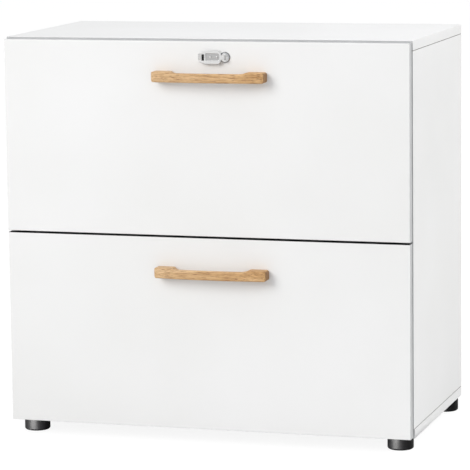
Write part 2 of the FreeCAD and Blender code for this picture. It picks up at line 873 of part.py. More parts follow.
def key_blade():
    """Blade in the keyway, with a round fork in front of the rosette for the folding bow."""
    fork_rear = rosette_face - fork_stand_off
    fork_front = pivot_y - bow_thickness / 2 - bow_play
    blade = block((lock_x - blade_height / 2, lock_x + blade_height / 2),
                  (fork_rear - fork_back / 2, rosette_face + blade_length),
                  (lock_z - blade_width / 2, lock_z + blade_width / 2))
    head = bar(on_axis(fork_front), on_axis(fork_rear), fork_radius)
    slot = block((lock_x - fork_radius - overrun, lock_x + fork_radius + overrun),
                 (fork_front - overrun, fork_rear - fork_back),
                 (lock_z - fork_slot / 2, lock_z + fork_slot / 2))
    hole = bar(on_axis(pivot_y, 0, -fork_radius - overrun), on_axis(pivot_y, 0, fork_radius + overrun),
               pin_radius + pin_play)
    return fuse([cut(head, [slot, hole]), blade])


def key_hinge_pin():
    """Pin through the fork and the neck of the bow."""
    half = math.sqrt(fork_radius ** 2 - pin_radius ** 2) - bow_play
    return stud(on_axis(pivot_y, 0, -half), on_axis(pivot_y, 0, half), pin_radius, disc_sides)


def bow_block(start, length, height):
    """Plate of the bow's thickness, to the left of the pivot."""
    return block((lock_x - start - length, lock_x - start),
                 (pivot_y - bow_thickness / 2, pivot_y + bow_thickness / 2),
                 (lock_z - height / 2, lock_z + height / 2))


def bow_far():
    """Distance from the pivot to the far end of the bow's body."""
    return bow_start + bow_length


def key_bow():
    """Folded to the left, flat before the drawer front: neck, body with a pocket, and eye."""
    body = bow_block(bow_start, bow_length, bow_height)
    near_x = lock_x - bow_start
    body = rounded(body, bow_round, lambda edge: runs_along(edge, rearward)
                   and edge.CenterOfMass.x > near_x - bow_corner)
    neck = bow_block(0, bow_start + bow_round, bow_neck_height)
    knuckle = bar(on_axis(pivot_y, 0, -bow_neck_height / 2), on_axis(pivot_y, 0, bow_neck_height / 2),
                  bow_thickness / 2)
    eye = bow_block(bow_far() - bow_corner, eye_length + bow_corner, eye_height)
    eye_end = lock_x - bow_far() - eye_length
    eye = rounded(eye, eye_round, lambda edge: runs_along(edge, rearward)
                  and edge.CenterOfMass.x < eye_end + bow_corner)
    window = block((eye_end + eye_wall, lock_x - bow_far() - eye_root),
                   (pivot_y - bow_thickness, pivot_y + bow_thickness),
                   (lock_z - eye_window_height / 2, lock_z + eye_window_height / 2))
    middle = bow_start + bow_length / 2
    pocket_z = lock_z + bow_pocket_rise
    pocket = block((lock_x - middle - bow_pocket_length / 2, lock_x - middle + bow_pocket_length / 2),
                   (pivot_y - bow_thickness, pivot_y - bow_thickness / 2 + bow_pocket_depth),
                   (pocket_z - bow_pocket_height / 2, pocket_z + bow_pocket_height / 2))
    pocket = rounded(pocket, bow_pocket_round, lambda edge: runs_along(edge, rearward)
                     and edge.CenterOfMass.x > lock_x - middle)
    boss_rows = [lock_x - middle + bow_pocket_length * (1 / 2 - share) for share in bow_boss_places_share]
    bosses = [stud(V(x, pivot_y, pocket_z), V(x, pivot_y - bow_thickness / 2, pocket_z),
                   bow_boss_radius, disc_sides) for x in boss_rows]
    hole = bar(on_axis(pivot_y, 0, -bow_neck_height), on_axis(pivot_y, 0, bow_neck_height),
               pin_radius + pin_play)
    bow = cut(fuse([body, neck, knuckle, eye]), [window, pocket, hole])
    return fuse([bow] + bosses)


def key_insert():
    """Dark block in the eye of the bow."""
    edge = lock_x - bow_far() - eye_root
    return block((edge - insert_length, edge),
                 (pivot_y - bow_thickness / 2 - insert_proud, pivot_y + bow_thickness / 2),
                 (lock_z - insert_height / 2, lock_z + insert_height / 2))


# Keeper under the top panel

def keeper_front():
    """Front face of the lip: behind the end of the barrel, and before the cam."""
    return tail_rear - keeper_gap - keeper_sheet


def keeper_screw_places():
    """Screw heads flush with the underside of the keeper's flange."""
    z = joint_height(1) - keeper_sheet
    y = keeper_front() + keeper_depth * keeper_screw_share
    return [V(lock_x + side * keeper_width / 4, y, z) for side in (-1, 1)]


def lock_keeper():
    """Angle whose lip hangs in front of the cam's path."""
    top = joint_height(1)
    wide = (lock_x - keeper_width / 2, lock_x + keeper_width / 2)
    front = keeper_front()
    flange = block(wide, (front, front + keeper_depth), (top - keeper_sheet, top))
    lip = block(wide, (front, front + keeper_sheet), (top - keeper_lip, top))
    return cut(fuse([flange, lip]), [wood_screw(place, upward, screw_hole_play)
                                     for place in keeper_screw_places()])


# Feet

def foot_pad(x, y):
    """Round foot with a crowned top, and a lower edge that slopes in to the floor."""
    profile = [(foot_top_radius, 0), (foot_radius, -foot_crown), (foot_radius, foot_round - foot_height),
               (foot_radius - foot_round, -foot_height)]
    pad = turned(profile, pad_sides)
    hole = stud(V(0, 0, overrun), V(0, 0, -stem_in_pad), stem_radius + thread_play, disc_sides)
    return moved(cut(pad, [hole]), x, y, 0)


def foot_stem(x, y):
    """Threaded stem, with a slot at its upper end for adjusting the foot from inside."""
    stem = stud(V(x, y, -stem_in_pad), V(x, y, stem_rise), stem_radius, disc_sides)
    slot = block((x - stem_radius, x + stem_radius), (y - stem_slot / 2, y + stem_slot / 2),
                 (stem_rise - stem_slot_depth, stem_rise + overrun))
    return cut(stem, [slot])


def foot_socket(x, y):
    """Threaded bush in the bottom panel."""
    bush = stud(V(x, y, 0), V(x, y, socket_length), socket_radius, disc_sides)
    bore = stud(V(x, y, -overrun), V(x, y, socket_length + overrun), stem_radius + thread_play, disc_sides)
    return cut(bush, [bore])


save("top_panel", top_panel())
save("bottom_panel", bottom_panel())
save("left_side_panel", side_panel(-1))
save("right_side_panel", side_panel(1))
save("back_panel", back_panel())
save("cam_locks", *[cam(*corner) for corner in corners])
save("cam_bolts", *[cam_bolt(*corner) for corner in corners])
save("wood_dowels", *[dowel(*corner) for corner in corners])
save("foot_sockets", *[foot_socket(x, y) for x, y in foot_places().values()])
save("lock_keeper", lock_keeper())
carcass_screws = [wood_screw(place, upward) for place in keeper_screw_places()]
for side in (-1, 1):
    carcass_screws += [wood_screw(place, V(side, 0, 0)) for place in runner_screw_places(side)]
save("carcass_screws", *carcass_screws)

for drawer in front_feet:
    right_rail = cabinet_rail(drawer)
    save(drawer + "_cabinet_rails", mirrored(right_rail), right_rail)
    runner_pieces(drawer)
    save_drawer(drawer)

save("lock_housing", lock_housing())
save("lock_nut", lock_nut())
save("lock_cylinder", lock_cylinder())
save("lock_cam", lock_cam())
save("cam_screw", cam_screw())
save("key_blade", key_blade())
save("key_hinge_pin", key_hinge_pin())
save("key_bow", key_bow())
save("key_insert", key_insert())

for place, (x, y) in foot_places().items():
    save(place + "_foot_pad", foot_pad(x, y))
    save(place + "_foot_stem", foot_stem(x, y))
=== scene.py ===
# %% [markdown]
# # A white filing cabinet with oak handles
# The cabinet holds two wide drawers in a carcass of white melamine board. Its solids come
# from CAD in their true places, as a frame that nothing here may move. This lesson dresses
# that frame: the boards get softened edges, the handles become planed oak, the fittings
# get their turned and pressed forms, and every surface gets a finish built from nodes.

# %% Load the frame
import json
import math
import bmesh
import bpy
from mathutils import Matrix, Vector

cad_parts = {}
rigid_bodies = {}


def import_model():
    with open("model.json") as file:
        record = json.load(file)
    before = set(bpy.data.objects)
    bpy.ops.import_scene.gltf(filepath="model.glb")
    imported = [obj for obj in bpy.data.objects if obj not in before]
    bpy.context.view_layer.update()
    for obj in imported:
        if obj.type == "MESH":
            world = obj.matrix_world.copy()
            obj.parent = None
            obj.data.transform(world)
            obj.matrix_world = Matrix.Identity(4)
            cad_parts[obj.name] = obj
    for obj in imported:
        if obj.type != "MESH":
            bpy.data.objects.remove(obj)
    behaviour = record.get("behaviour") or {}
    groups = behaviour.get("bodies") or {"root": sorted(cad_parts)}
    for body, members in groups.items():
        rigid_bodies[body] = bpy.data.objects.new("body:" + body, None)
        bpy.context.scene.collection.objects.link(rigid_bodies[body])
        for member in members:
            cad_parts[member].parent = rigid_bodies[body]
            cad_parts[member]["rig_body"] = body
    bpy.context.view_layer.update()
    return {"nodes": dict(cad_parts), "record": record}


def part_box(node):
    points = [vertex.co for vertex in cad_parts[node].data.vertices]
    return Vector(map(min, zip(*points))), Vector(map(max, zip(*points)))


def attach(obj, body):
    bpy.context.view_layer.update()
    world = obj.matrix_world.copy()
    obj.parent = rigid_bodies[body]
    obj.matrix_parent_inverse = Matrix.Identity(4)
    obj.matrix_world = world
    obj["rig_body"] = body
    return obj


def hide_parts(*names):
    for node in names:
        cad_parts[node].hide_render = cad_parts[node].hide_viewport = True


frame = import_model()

MM = 0.001
drawers = ("upper", "lower")

# %% [markdown]
# ## Small helpers for shader nodes
# A finish is a tree of shader nodes. The trees here are short, so a few helpers are enough:
# one adds a node and joins its inputs, one makes noise that may be stretched along the axes
# of the piece, and one lays colours along a value. Noise reads the Object coordinates,
# which are metres here, so a scale is simply a count of lumps in a metre.

# %% Helpers for shader nodes
def add(tree, kind, inputs=(), **options):
    """Add one node. Options are its own settings; inputs are values, or sockets to join."""
    made = tree.nodes.new(kind)
    for name, value in options.items():
        setattr(made, name, value)
    for name, value in dict(inputs).items():
        if isinstance(value, bpy.types.NodeSocket):
            tree.links.new(value, made.inputs[name])
        else:
            made.inputs[name].default_value = value
    return made


def shown(red, green, blue):
    """Linear colour of what a picture shows as these values from 0 to 255."""
    shares = [value / 255 for value in (red, green, blue)]
    return tuple(((share + 0.055) / 1.055) ** 2.4 for share in shares) + (1.0,)


def lumps(tree, counts, detail=2.0, rough=0.5):
    """Noise with this many lumps in a metre along x, y and z; one count serves all three."""
    counts = counts if isinstance(counts, tuple) else (counts,) * 3
    place = add(tree, "ShaderNodeTexCoord").outputs["Object"]
    scaled = add(tree, "ShaderNodeMapping", {"Vector": place, "Scale": counts}).outputs["Vector"]
    inputs = {"Vector": scaled, "Scale": 1.0, "Detail": detail, "Roughness": rough}
    return add(tree, "ShaderNodeTexNoise", inputs).outputs["Fac"]


def along(tree, value, *stops):
    """Colours laid along a value: each stop is a place from 0 to 1 and a colour or a grey."""
    ramp = add(tree, "ShaderNodeValToRGB", {"Fac": value})
    points = ramp.color_ramp.elements
    while len(points) < len(stops):
        points.new(1.0)
    for point, (place, colour) in zip(points, stops):
        point.position = place
        point.color = colour if isinstance(colour, tuple) else (colour, colour, colour, 1.0)
    return ramp.outputs["Color"]


def mixed(tree, share, first, second, way="MIX"):
    """Two colours mixed, or combined in another way."""
    inputs = {0: share, 6: first, 7: second}
    return add(tree, "ShaderNodeMix", inputs, data_type="RGBA", blend_type=way).outputs[2]


# %% [markdown]
# ## Small helpers for finishes
# Nearly every finish here is made of the same three things: a colour and a roughness that
# drift a little over the piece, and a fine relief. Constant values would be simpler, but
# they make any surface look like plaster. Noise seldom comes near 0 or 1, so each drift is
# laid over the middle of its range. What is the same all over is set on the shader itself.

# %% Helpers for finishes
noise_low, noise_high = 0.3, 0.7
finishes = {}


def finish(name, **inputs):
    """A new finish, with constant values set on the shader's own sockets."""
    made = bpy.data.materials.new(name)
    made.use_nodes = True
    shader = made.node_tree.nodes["Principled BSDF"]
    for socket, value in inputs.items():
        shader.inputs[socket.replace("_", " ")].default_value = value
    finishes[name] = made
    return made.node_tree, shader


def drift(tree, noise, first, second):
    """A colour or grey that drifts with the noise from the first to the second."""
    return along(tree, noise, (noise_low, first), (noise_high, second))


def tint(tree, shader, noise, dark, light):
    """Let the colour drift between two that are given as a picture shows them."""
    tree.links.new(drift(tree, noise, shown(*dark), shown(*light)), shader.inputs["Base Color"])


def dull(tree, shader, noise, first, second):
    """Let the roughness drift between two values."""
    tree.links.new(drift(tree, noise, first, second), shader.inputs["Roughness"])


def emboss(tree, shader, height, depth):
    """Give the surface a fine relief of this depth."""
    bump = add(tree, "ShaderNodeBump", {"Height": height, "Distance": depth})
    tree.links.new(bump.outputs["Normal"], shader.inputs["Normal"])


# %% [markdown]
# ## White melamine
# The boards are particle board under a hard white paper. The paper is pressed against a
# plate with a faint pearl grain, so it gleams softly and shows no mirror image. A uniform
# white would look like plaster. Two noises do it: a fine one gives the pearl relief, and a
# slow one shifts the roughness a little, as on a board that hands have touched.

# %% Melamine
tree, shader = finish("white_melamine")
tint(tree, shader, lumps(tree, 3), (232, 232, 231), (236, 236, 236))
dull(tree, shader, lumps(tree, 9, 3), 0.34, 0.44)
emboss(tree, shader, lumps(tree, 700, 3), 0.04 * MM)
print("Finish:", list(finishes)[-1])

# %% [markdown]
# ## Board edges
# The narrow sides of the drawer fronts carry a strip of edging, glued on and trimmed. In
# the picture these strips read as a mid grey line at the right and at the top of the
# fronts, and the slot between the fronts as black, so the two strips in the slot are dark.
# The grey of the strips is painted shade of the gap round the fronts, and the near black of
# the two strips in the slot is the slot's shadow, painted. The carcass has the same grey
# strip on its front edges too. Where two boards of it meet, a dark line in the seam paints
# glue and the seam's shade. All are finishes of their own, so that they stay on the boards
# in every view.

# %% Edging and seams
# Painted shade: the grey edging stands in for the shade of the gap round the fronts, and the near
# black slot edging for the shadow in the slot.
painted_edge_shades = {"front_edging": (0.4, (186, 187, 188), (196, 197, 198), 0.42, 0.54),
           "slot_edging": (0.3, (24, 25, 26), (32, 33, 34), 0.5, 0.62)}
for name, (gleam, dark, light, smooth, rough) in painted_edge_shades.items():
    tree, shader = finish(name, Specular_IOR_Level=gleam)
    tint(tree, shader, lumps(tree, 20, 3), dark, light)
    dull(tree, shader, lumps(tree, 60, 3), smooth, rough)

# Real glue and painted shade: the dark seam line stands in for glue and for the shade in the
# seam.
tree, shader = finish("seam_glue_and_painted_shade", Specular_IOR_Level=0.2, Roughness=0.8)
tint(tree, shader, lumps(tree, 90, 3), (132, 131, 129), (152, 151, 149))
print("Finishes:", ", ".join(list(finishes)[-3:]))

# %% [markdown]
# ## Oak
# The handles are cut along the grain from light oak and oiled. Along the bow run three
# things: broad bands from the growth rings, thin fibres, and dark pores a few
# millimetres long. All three are noise stretched ten to forty times along x. Over the bands
# lies painted light: a slow change along x makes the left end lighter and the right end
# darker and warmer, as the lamp at the left lights the bow. The two ends cut across the
# fibres: they drink the oil and turn dark, so they get a finish of their own.

# %% Oak and its end grain
tree, shader = finish("oak", Specular_IOR_Level=0.4)
bands = lumps(tree, (5, 120, 200))
fibres = lumps(tree, (34, 420, 560), 4, 0.64)
pores = lumps(tree, (64, 900, 1100))

# Painted light: the left end is lighter and the right darker and warmer, mixed along x as the
# lamp at the left lights the bow.
band_places = (noise_low, 0.52, noise_high)
lit_left_tones = (205, 169, 125), (216, 182, 139), (224, 192, 151)
shaded_right_tones = (197, 154, 103), (209, 169, 119), (219, 181, 134)
painted_lit_side, painted_shaded_side = [
    along(tree, bands, *((place, shown(*tone)) for place, tone in zip(band_places, tones)))
    for tones in (lit_left_tones, shaded_right_tones)]
left_end, right_end = -0.09, 0.10
object_place = add(tree, "ShaderNodeTexCoord").outputs["Object"]
across_bow = add(tree, "ShaderNodeSeparateXYZ", {"Vector": object_place}).outputs["X"]
painted_light_share = add(tree, "ShaderNodeMapRange", {
    "Value": across_bow, "From Min": left_end, "From Max": right_end}).outputs["Result"]

white = shown(255, 255, 255)
fibre_shade = along(tree, fibres, (0.36, shown(204, 187, 166)), (0.56, white))
pore_shade = along(tree, pores, (0.33, shown(140, 100, 66)), (0.44, white))
fibre_strength, pore_strength = 0.8, 0.7
wood = mixed(tree, painted_light_share, painted_lit_side, painted_shaded_side)
wood = mixed(tree, fibre_strength, wood, fibre_shade, "MULTIPLY")
wood = mixed(tree, pore_strength, wood, pore_shade, "MULTIPLY")
tree.links.new(wood, shader.inputs["Base Color"])
dull(tree, shader, fibres, 0.62, 0.48)
emboss(tree, shader, mixed(tree, 0.5, fibres, pores), 0.18 * MM)

tree, shader = finish("oak_end_grain", Specular_IOR_Level=0.3, Roughness=0.7)
tint(tree, shader, lumps(tree, (60, 260, 900), 3, 0.6), (136, 102, 70), (168, 131, 93))
emboss(tree, shader, lumps(tree, (300, 2200, 2200)), 0.2 * MM)
print("Finishes:", ", ".join(list(finishes)[-2:]))

# %% [markdown]
# ## Painted, plated and cast metal
# Powder paint has the fine waves of an orange's peel. Zinc plate keeps the lines of the
# rolled strip, which run along the runners, so its noise is stretched along y. A zinc
# casting is grainy, and the balls are polished. The relief does more for these than the
# colour, so each gets its own kind of it.

# %% Metals of the drawers
tree, shader = finish("drawer_steel")
tint(tree, shader, lumps(tree, 5), (213, 215, 215), (219, 221, 221))
dull(tree, shader, lumps(tree, 40), 0.38, 0.5)
emboss(tree, shader, lumps(tree, 600), 0.06 * MM)

tree, shader = finish("zinc_plated_steel", Metallic=1.0)
rolled = lumps(tree, (900, 12, 900), 3, 0.6)
tint(tree, shader, lumps(tree, (30, 18, 30), 3), (182, 186, 191), (208, 211, 214))
dull(tree, shader, rolled, 0.26, 0.42)
emboss(tree, shader, rolled, 0.02 * MM)

tree, shader = finish("cast_zinc", Metallic=1.0)
sand = lumps(tree, 1200, 4, 0.6)
tint(tree, shader, sand, (150, 152, 154), (186, 188, 190))
dull(tree, shader, sand, 0.55, 0.42)
emboss(tree, shader, sand, 0.06 * MM)

tree, shader = finish("ball_steel", Metallic=1.0)
tint(tree, shader, lumps(tree, 900), (190, 192, 195), (205, 207, 210))
dull(tree, shader, lumps(tree, 400), 0.08, 0.16)
print("Finishes:", ", ".join(list(finishes)[-4:]))

# %% [markdown]
# ## Lock and key
# The lock is chromed over a polished face. Its sloping rim gets a darker chrome, a painted
# reflection of the darker sides of the room. The key is nickel over a face that was brushed
# along its length, and the pocket in its bow was blasted; the pocket's darker grey is painted
# shade of the recess. They could share one metal, but then the key would melt into the lock,
# so each has its own tone and its own grain.

# %% Metals of the lock and the key
tree, shader = finish("lock_chrome", Metallic=1.0)
haze = lumps(tree, 500)
tint(tree, shader, haze, (222, 223, 224), (238, 238, 239))
dull(tree, shader, haze, 0.16, 0.26)
emboss(tree, shader, lumps(tree, 2600), 0.006 * MM)

# Painted reflection: the rim's darker chrome stands in for the darker sides of the room that it
# mirrors.
tree, shader = finish("lock_rim_painted_reflection", Metallic=1.0)
tint(tree, shader, lumps(tree, 500), (140, 141, 142), (158, 159, 160))
dull(tree, shader, lumps(tree, 300), 0.2, 0.32)

tree, shader = finish("key_nickel", Metallic=1.0)
brushed = lumps(tree, (70, 3000, 3000), 3, 0.6)
tint(tree, shader, brushed, (216, 216, 215), (234, 234, 233))
dull(tree, shader, brushed, 0.28, 0.4)
emboss(tree, shader, brushed, 0.02 * MM)

# Painted shade: the pocket's darker grey stands in for the shade in its recess; its roughness is
# the blast.
tree, shader = finish("key_pocket_painted_shade", Metallic=1.0)
blasted = lumps(tree, 1500, 3, 0.6)
tint(tree, shader, blasted, (164, 164, 165), (188, 188, 188))
dull(tree, shader, blasted, 0.5, 0.62)
emboss(tree, shader, blasted, 0.04 * MM)
print("Finishes:", ", ".join(list(finishes)[-4:]))

# %% [markdown]
# ## Plastics and beech
# The feet and the key's insert are black plastic from a mould with a fine matt texture. The
# ball cages are uncoloured plastic, which lets a little light in, and the bumpers are clear
# and soft. The dowels are beech, with short flecks along the grain. Real refraction would be
# slow and would not show on a bumper of two millimetres, so half transmission is enough.

# %% Plastics and beech
tree, shader = finish("black_plastic", Specular_IOR_Level=0.15)
tint(tree, shader, lumps(tree, 60, 3), (5, 5, 6), (9, 9, 10))
dull(tree, shader, lumps(tree, 120), 0.4, 0.48)
emboss(tree, shader, lumps(tree, 1800, 3), 0.03 * MM)

tree, shader = finish("cage_plastic", Subsurface_Weight=0.1)
tint(tree, shader, lumps(tree, 80), (206, 207, 204), (216, 217, 214))
dull(tree, shader, lumps(tree, 200), 0.4, 0.52)

tree, shader = finish("bumper_plastic", Transmission_Weight=0.5)
tint(tree, shader, lumps(tree, 200), (224, 226, 226), (236, 238, 238))
dull(tree, shader, lumps(tree, 300), 0.22, 0.34)

tree, shader = finish("beech", Specular_IOR_Level=0.3)
flecks = lumps(tree, (900, 900, 60), 3)
tint(tree, shader, flecks, (190, 150, 108), (218, 182, 140))
dull(tree, shader, flecks, 0.7, 0.55)
emboss(tree, shader, flecks, 0.1 * MM)
print("Finishes:", ", ".join(sorted(finishes)))

# %% [markdown]
# ## Finishes on the CAD nodes
# The record says which material each CAD node is made of. Most nodes have their true shape
# already, so they only need the finish of that name in their material slot.

# %% Dress the nodes
slot_of = {part["node"]: part["material_slot"] for part in frame["record"]["subparts"]}
for name, node in frame["nodes"].items():
    for place in node.material_slots:
        place.material = finishes[slot_of[name]]
    if not node.material_slots:
        node.data.materials.append(finishes[slot_of[name]])
print("Dressed", len(slot_of), "nodes")

# %% [markdown]
# ## Pieces of our own
# A new piece rides on the body of the node that it stands for, and takes the finish of
# that node. One helper does all of that, so that no piece can be forgotten. Curved faces
# are shaded smoothly and real edges stay sharp, and the weighted normals keep flat faces
# flat beside a rounded edge.

# %% Helpers for new pieces
def as_data(name, mesh):
    """Mesh data of this name out of a bmesh."""
    data = bpy.data.meshes.new(name)
    mesh.to_mesh(data)
    mesh.free()
    return data


def placed(name, data):
    """New object in the scene."""
    made = bpy.data.objects.new(name, data)
    bpy.context.scene.collection.objects.link(made)
    return made


def body_of(node):
    """Name of the body that a CAD node rides on."""
    return frame["nodes"][node]["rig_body"]


def piece(name, mesh, node, finish_names=None, stands_for=True, sharp=50):
    """Make an object from a bmesh or a mesh, ride it on the node's body, and hide the node.

    A mesh that already has a finish keeps it. Edges over the angle sharp, in degrees, stay.
    """
    if isinstance(mesh, bmesh.types.BMesh):
        data = as_data(name, mesh)
    else:
        data = mesh
        data.name = name
    if not data.materials:
        for wanted in finish_names or [slot_of[node]]:
            data.materials.append(finishes[wanted])
    data.polygons.foreach_set("use_smooth", [True] * len(data.polygons))
    data.set_sharp_from_angle(angle=math.radians(sharp))
    made = placed(name, data)
    made.modifiers.new("even_shading", "WEIGHTED_NORMAL").keep_sharp = True
    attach(made, body_of(node))
    if stands_for:
        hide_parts(node)
    return made


# %% [markdown]
# A CAD node's mesh is loose triangles. Before it can be bevelled, a copy of it is merged
# and its flat faces are made whole again. Where a node holds many alike solids, such as
# screws, the place of each is wanted instead: vertices that hang together are gathered, and
# the box of each group is kept.

# %% Helpers for copies of the CAD
same_place = 0.002 * MM
flat_angle = math.radians(0.5)


def merged(node):
    """Copy of a CAD node's mesh, its loose triangles joined and its flat faces made whole."""
    mesh = bmesh.new()
    mesh.from_mesh(frame["nodes"][node].data)
    bmesh.ops.remove_doubles(mesh, verts=mesh.verts, dist=same_place)
    bmesh.ops.dissolve_limit(mesh, angle_limit=flat_angle, verts=mesh.verts, edges=mesh.edges)
    return mesh


def solids_of(node):
    """Lowest and highest corner of each solid in a CAD node, from left to right."""
    mesh = merged(node)
    waiting = set(mesh.verts)
    boxes = []
    while waiting:
        reached = [waiting.pop()]
        for vert in reached:
            near = {edge.other_vert(vert) for edge in vert.link_edges} & waiting
            waiting -= near
            reached += near
        places = [vert.co for vert in reached]
        low = Vector([min(place[axis] for place in places) for axis in range(3)])
        high = Vector([max(place[axis] for place in places) for axis in range(3)])
        boxes.append((low, high))
    mesh.free()
    return sorted(boxes, key=lambda box: tuple(box[0]))


print("The carcass screws are", len(solids_of("carcass_screws")), "solids")

# %% [markdown]
# ## Softened edges
# No real edge is perfectly sharp. A board's banded edge is trimmed with a small radius, and
# where two boards meet flush the two radii make a thin groove, the seam that the eye expects
# there; its dark colour is painted glue and shade. Modelling the boards again would lose their
# bores and grooves, so a copy of each is bevelled on its rim only. These helpers find the
# edges, by their angle and their place.

# %% Helpers for edges
clear_angle = math.radians(40)
in_plane = 0.02 * MM
hair = 0.1 * MM


def sharp_edges(mesh, wanted=lambda edge: True):
    """Edges where two faces meet at a clear angle, and that pass the test."""
    return [edge for edge in mesh.edges if len(edge.link_faces) == 2
            and edge.calc_face_angle() > clear_angle and wanted(edge)]


def bevel(mesh, edges, width, steps=2, finish_index=-1):
    """Round these edges; the new faces may take another of the piece's finishes."""
    bmesh.ops.bevel(mesh, geom=edges, offset=width, segments=steps, profile=0.5,
                    affect="EDGES", clamp_overlap=True, material=finish_index)


def on_rim(edge, low, high):
    """True for an edge of the piece's own box."""
    first, second = (vert.co for vert in edge.verts)
    faces = 0
    for axis in range(3):
        level = abs(first[axis] - second[axis]) < in_plane
        outer = min(abs(first[axis] - low[axis]), abs(first[axis] - high[axis])) < in_plane
        faces += level and outer
    return faces >= 2


def at_front(edge, low):
    """True for an edge in the front plane of a board."""
    return all(vert.co.y < low.y + in_plane for vert in edge.verts)


def in_seam(edge):
    """True for an edge that lies where a side panel meets the top or the bottom panel."""
    return any(all(abs(vert.co.z - height) < in_plane for vert in edge.verts)
               for height in seam_heights)


# %% [markdown]
# ## Boards of the carcass
# Where the sides meet the top and the bottom, one plain step of bevel takes the dark seam
# finish, which paints glue and the seam's shade. The other rims get two steps in white. The
# front edges stay square, because the strip on them is glued on flat, and they take its grey
# finish, painted shade of the gap behind the fronts.

# %% Boards
seam_heights = (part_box("bottom_panel")[1].z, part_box("top_panel")[0].z)
seam_width = 0.7 * MM
rim_width = 0.5 * MM
board_finishes = ["white_melamine", "seam_glue_and_painted_shade", "front_edging"]
facing = 0.95
for board in ("top_panel", "bottom_panel", "left_side_panel", "right_side_panel"):
    low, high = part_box(board)
    mesh = merged(board)
    # The seam's bevel takes the dark line of glue and painted shade.
    seam = sharp_edges(mesh, lambda edge: on_rim(edge, low, high) and in_seam(edge))
    bevel(mesh, seam, seam_width, 1, board_finishes.index("seam_glue_and_painted_shade"))
    rim = sharp_edges(mesh, lambda edge: on_rim(edge, low, high) and not at_front(edge, low))
    bevel(mesh, rim, rim_width)
    # Faces in the front plane take the grey edging, painted shade of the gap behind the fronts.
    for face in mesh.faces:
        if face.normal.y < -facing and face.calc_center_median().y < low.y + hair:
            face.material_index = board_finishes.index("front_edging")
    made = piece(board + "_softened", mesh, board, board_finishes)
    print(made.name, len(made.data.polygons), "faces")

# %% [markdown]
# ## Drawer fronts
# The fronts of the CAD are rounded at their front rim already, so their shape stays. Only
# the finishes are dealt out, face by face: grey on the narrow sides, painted shade of the
# gap round the fronts, and dark on all that lies in the slot between the fronts, up to the
# strip's thickness from its mouth, as the slot's painted shadow.

# %% Fronts
strip_thickness = 0.4 * MM
fully_facing = 0.99
front_finishes = ["white_melamine", "front_edging", "slot_edging"]
for drawer in drawers:
    front = drawer + "_drawer_front"
    low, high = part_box(front)
    slot_height = low.z if drawer == "upper" else high.z
    mesh = merged(front)
    # Narrow faces take the grey edging, painted shade; faces in the slot take its painted shadow.
    for face in mesh.faces:
        middle = face.calc_center_median()
        narrow = max(abs(face.normal.x), abs(face.normal.z)) > facing
        inset = min(middle.x - low.x, high.x - middle.x, middle.z - low.z, high.z - middle.z)
        face.material_index = int(narrow and inset < hair)
        if face.normal.y > -fully_facing and abs(middle.z - slot_height) < strip_thickness:
            face.material_index = front_finishes.index("slot_edging")
    made = piece(front + "_edged", mesh, front, front_finishes)
    print(made.name, len(made.data.polygons), "faces")

# %% [markdown]
# ## Bow handles
# Each handle is one stick of oak, bandsawn to a shallow bow and then shaped by hand tools:
# the front is curved, the back is hollowed for the fingers, and the top dips a little in the
# middle. A subdivision cage could do it, but it would round the crisp feet. Here the
# handle is skinned over cross sections: at each place along x the section is a rectangle
# with rounded corners, whose front, back and top come from the same curves as the solid's.

# %% Curves of a bow
handle_end_reach = 23 * MM
handle_foot = 36 * MM
handle_slope = 13 * MM
handle_grip = 11.5 * MM
handle_waist = 2.8 * MM
handle_block = 34 * MM
handle_step = 9 * MM
handle_corner = 4.5 * MM
handle_end_round = 6 * MM


def arc(x, half, rise):
    """Height at x of a circular arc that spans -half to half and rises in its middle."""
    radius = (half ** 2 + rise ** 2) / (2 * rise)
    return math.sqrt(max(radius ** 2 - x ** 2, 0)) - radius + rise


def rounded_in(distance, radius):
    """How far a rounded corner draws in at this distance from the end."""
    short = radius - min(max(distance, 0), radius)
    return radius - math.sqrt(radius ** 2 - short ** 2)


def bow_section(x, half, reach, height):
    """Front, back, lower and upper edge of the bow at x, measured from the drawer front."""
    foot_in = half - handle_foot
    slope_in = foot_in - handle_slope
    inside = reach - handle_grip
    slope_top = inside * (1 - handle_slope / half)
    front = handle_end_reach + arc(x, half, reach - handle_end_reach)
    back = 0.0
    if abs(x) < slope_in:
        back = slope_top + arc(x, slope_in, inside - slope_top)
    elif abs(x) < foot_in:
        back = slope_top * (foot_in - abs(x)) / handle_slope
    down = min(max((half - handle_block - abs(x)) / handle_step, 0), 1)
    top = height / 2 - handle_waist * down * down * (3 - 2 * down)
    drawn_in = rounded_in(half - abs(x), handle_corner)
    front -= rounded_in(half - abs(x), handle_end_round)
    return front, back, drawn_in - height / 2, top - drawn_in


# %% [markdown]
# A section's corners are quarter circles, softer at the front than at the back, and nearly
# sharp at the back of the feet, which stand on the drawer. The sections lie close together
# at the rounded ends and where the back turns, as a skin only follows what it has points for.

# %% Sections and their places
front_round = 2.0 * MM
back_round = 1.3 * MM
foot_round = 0.3 * MM
corner_steps = 4
end_turns = (0, 6, 14, 24, 36, 50, 68, 90)
foot_steps, slope_steps, grip_steps = 12, 10, 20


def rounded_ring(x, front, back, low, high):
    """Corners of a rounded rectangle across the bow, with softer corners at the front."""
    ring = []
    soft_back = min(back_round, foot_round + back / 4)
    corners = [(-front, low, front_round, 180), (-back, low, soft_back, 270),
               (-back, high, soft_back, 0), (-front, high, front_round, 90)]
    for y, z, radius, start in corners:
        middle_y = y + radius if y == -front else y - radius
        middle_z = z + radius if z == low else z - radius
        for step in range(corner_steps + 1):
            turn = math.radians(start + 90 * step / corner_steps)
            ring.append(Vector((x, middle_y + radius * math.cos(turn),
                                middle_z + radius * math.sin(turn))))
    return ring


